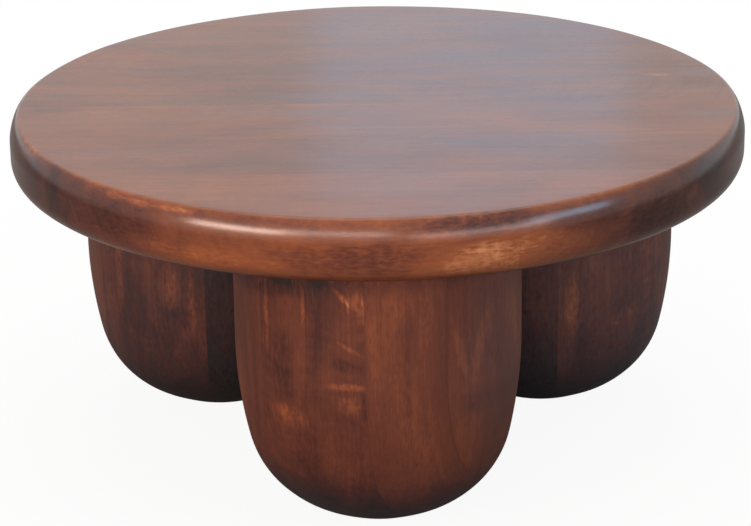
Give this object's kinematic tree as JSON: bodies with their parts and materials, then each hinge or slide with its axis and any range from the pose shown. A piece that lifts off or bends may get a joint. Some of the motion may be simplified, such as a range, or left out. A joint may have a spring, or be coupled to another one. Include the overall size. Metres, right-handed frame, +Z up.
{
  "type": "round coffee table",
  "caption": "Low round coffee table: a thick solid-wood top of edge-glued boards with a soft rounded rim, on fat turned legs shaped like blunt bullets.",
  "frame": {"origin": "on the floor, on the vertical axis through the centre of the round top", "axes": "+Z up; +X to the right along the boards of the top; the single front leg stands towards -Y and the two rear legs towards +Y"},
  "size_m": [0.8, 0.7999, 0.38],
  "materials": {
    "top_wood": "walnut-brown stain under satin lacquer",
    "leg_wood": "walnut-brown stain under satin lacquer",
    "steel": "zinc plated",
    "glide_plastic": "moulded black polypropylene"
  },
  "bodies": {
    "root": {"top_board_1": "top_wood", "top_board_2": "top_wood", "top_board_3": "top_wood", "top_board_4": "top_wood", "top_board_5": "top_wood", "top_board_6": "top_wood", "leg_front_stave_1": "leg_wood", "leg_front_stave_2": "leg_wood", "leg_front_stave_3": "leg_wood", "leg_front_stave_4": "leg_wood", "leg_front_stave_5": "leg_wood", "leg_front_stave_6": "leg_wood", "leg_rear_left_stave_1": "leg_wood", "leg_rear_left_stave_2": "leg_wood", "leg_rear_left_stave_3": "leg_wood", "leg_rear_left_stave_4": "leg_wood", "leg_rear_left_stave_5": "leg_wood", "leg_rear_left_stave_6": "leg_wood", "leg_rear_right_stave_1": "leg_wood", "leg_rear_right_stave_2": "leg_wood", "leg_rear_right_stave_3": "leg_wood", "leg_rear_right_stave_4": "leg_wood", "leg_rear_right_stave_5": "leg_wood", "leg_rear_right_stave_6": "leg_wood", "threaded_inserts": "steel", "hanger_bolts": "steel", "glide_screws": "steel", "glide_front": "glide_plastic", "glide_rear_left": "glide_plastic", "glide_rear_right": "glide_plastic"}
  },
  "joints": []
}
